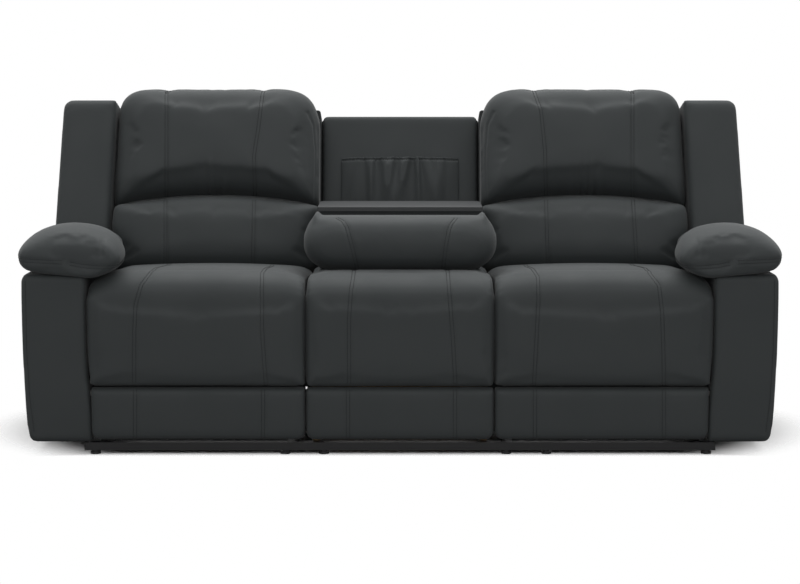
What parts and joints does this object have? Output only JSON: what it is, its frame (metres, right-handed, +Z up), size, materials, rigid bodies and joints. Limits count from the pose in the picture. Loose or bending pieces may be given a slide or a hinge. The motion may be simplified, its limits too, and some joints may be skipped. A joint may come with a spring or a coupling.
{
  "type": "sofa with drop down console",
  "caption": "Three-place upholstered sofa with reclining outer places, fat arm pads, side wings, and a centre back that folds down into a flat console tray.",
  "frame": {"origin": "on the floor, under the middle of the sofa's overall box", "axes": "+X across the sofa, to the right as seen from the front; +Y from front to back; +Z up"},
  "size_m": [2.104, 0.9452, 0.9968],
  "materials": {
    "upholstery": "soft brushed slate cloth",
    "back_cloth": "plain slate cloth",
    "timber": "sawn plywood",
    "black_steel": "satin black",
    "bright_steel": "bright drawn",
    "tray": "smooth matt",
    "foot_plastic": "moulded",
    "handle_plastic": "fine grain",
    "cable_sleeve": "matt"
  },
  "bodies": {
    "base": {"arm_bolts": "bright_steel", "arm_brackets": "black_steel", "arm_frames": "timber", "base_rails": "black_steel", "centre_back_cover": "back_cloth", "centre_back_frame": "timber", "centre_front_pad": "upholstery", "centre_lower_panel": "upholstery", "centre_seat_cushion": "upholstery", "centre_seat_frame": "timber", "centre_seat_springs": "bright_steel", "console_hinge_brackets": "black_steel", "glide_feet": "foot_plastic", "left_arm_cover": "upholstery", "left_arm_pad": "upholstery", "left_mechanism_plates": "black_steel", "left_seat_cushion": "upholstery", "left_seat_frame": "timber", "left_seat_springs": "bright_steel", "left_wing": "upholstery", "magazine_pocket": "upholstery", "recess_panel": "upholstery", "release_cables": "cable_sleeve", "release_cups": "handle_plastic", "right_arm_cover": "upholstery", "right_arm_pad": "upholstery", "right_mechanism_plates": "black_steel", "right_seat_cushion": "upholstery", "right_seat_frame": "timber", "right_seat_springs": "bright_steel", "right_wing": "upholstery"},
    "console": {"console_board": "timber", "console_head_pillow": "upholstery", "console_hinge_arms": "black_steel", "console_lumbar_pad": "upholstery", "console_tray": "tray"},
    "left_footrest": {"left_footrest_board": "timber", "left_footrest_brackets": "black_steel", "left_footrest_pad": "upholstery", "left_lower_panel": "upholstery"},
    "left_crank": {"left_drive_tube": "bright_steel"},
    "left_coupler": {"left_coupler_links": "black_steel"},
    "left_back": {"left_back_brackets": "black_steel", "left_back_frame": "timber", "left_head_pillow": "upholstery", "left_lumbar_cushion": "upholstery", "left_outside_back": "back_cloth"},
    "left_release": {"left_release_handle": "handle_plastic"},
    "right_footrest": {"right_footrest_board": "timber", "right_footrest_brackets": "black_steel", "right_footrest_pad": "upholstery", "right_lower_panel": "upholstery"},
    "right_crank": {"right_drive_tube": "bright_steel"},
    "right_coupler": {"right_coupler_links": "black_steel"},
    "right_back": {"right_back_brackets": "black_steel", "right_back_frame": "timber", "right_head_pillow": "upholstery", "right_lumbar_cushion": "upholstery", "right_outside_back": "back_cloth"},
    "right_release": {"right_release_handle": "handle_plastic"}
  },
  "joints": [
    {"name": "console_hinge", "type": "hinge", "parent": "base", "child": "console", "pos_m": [0, 0.1084, 0.5], "axis": [-1, 0, 0], "range_deg": [0, 104]},
    {"name": "left_footrest_hinge", "type": "hinge", "parent": "base", "child": "left_footrest", "pos_m": [-0.56, -0.4026, 0.428], "axis": [-1, 0, 0], "range_deg": [0, 82]},
    {"name": "left_crank_turn", "type": "hinge", "parent": "base", "child": "left_crank", "pos_m": [-0.56, -0.2876, 0.303], "axis": [-1, 0, 0], "range_deg": [0, 82]},
    {"name": "left_coupler_turn", "type": "hinge", "parent": "left_crank", "child": "left_coupler", "pos_m": [-0.56, -0.2656, 0.138], "axis": [-1, 0, 0], "range_deg": [-82, 0]},
    {"name": "left_recline_hinge", "type": "hinge", "parent": "base", "child": "left_back", "pos_m": [-0.56, 0.1274, 0.372], "axis": [-1, 0, 0], "range_deg": [0, 26]},
    {"name": "left_release_turn", "type": "hinge", "parent": "base", "child": "left_release", "pos_m": [-1.0315, -0.2181, 0.35], "axis": [0, 0, 1], "range_deg": [0, 30], "stiffness_Nm_per_rad": 0.5, "springref_deg": -11.46},
    {"name": "right_footrest_hinge", "type": "hinge", "parent": "base", "child": "right_footrest", "pos_m": [0.56, -0.4026, 0.428], "axis": [-1, 0, 0], "range_deg": [0, 82]},
    {"name": "right_crank_turn", "type": "hinge", "parent": "base", "child": "right_crank", "pos_m": [0.56, -0.2876, 0.303], "axis": [-1, 0, 0], "range_deg": [0, 82]},
    {"name": "right_coupler_turn", "type": "hinge", "parent": "right_crank", "child": "right_coupler", "pos_m": [0.56, -0.2656, 0.138], "axis": [-1, 0, 0], "range_deg": [-82, 0]},
    {"name": "right_recline_hinge", "type": "hinge", "parent": "base", "child": "right_back", "pos_m": [0.56, 0.1274, 0.372], "axis": [-1, 0, 0], "range_deg": [0, 26]},
    {"name": "right_release_turn", "type": "hinge", "parent": "base", "child": "right_release", "pos_m": [1.0315, -0.2181, 0.35], "axis": [0, 0, -1], "range_deg": [0, 30], "stiffness_Nm_per_rad": 0.5, "springref_deg": -11.46}
  ],
  "couplings": [
    {"joint": "left_crank_turn", "follows": "left_footrest_hinge", "ratio": 1},
    {"joint": "left_coupler_turn", "follows": "left_footrest_hinge", "ratio": -1},
    {"joint": "right_crank_turn", "follows": "right_footrest_hinge", "ratio": 1},
    {"joint": "right_coupler_turn", "follows": "right_footrest_hinge", "ratio": -1}
  ]
}
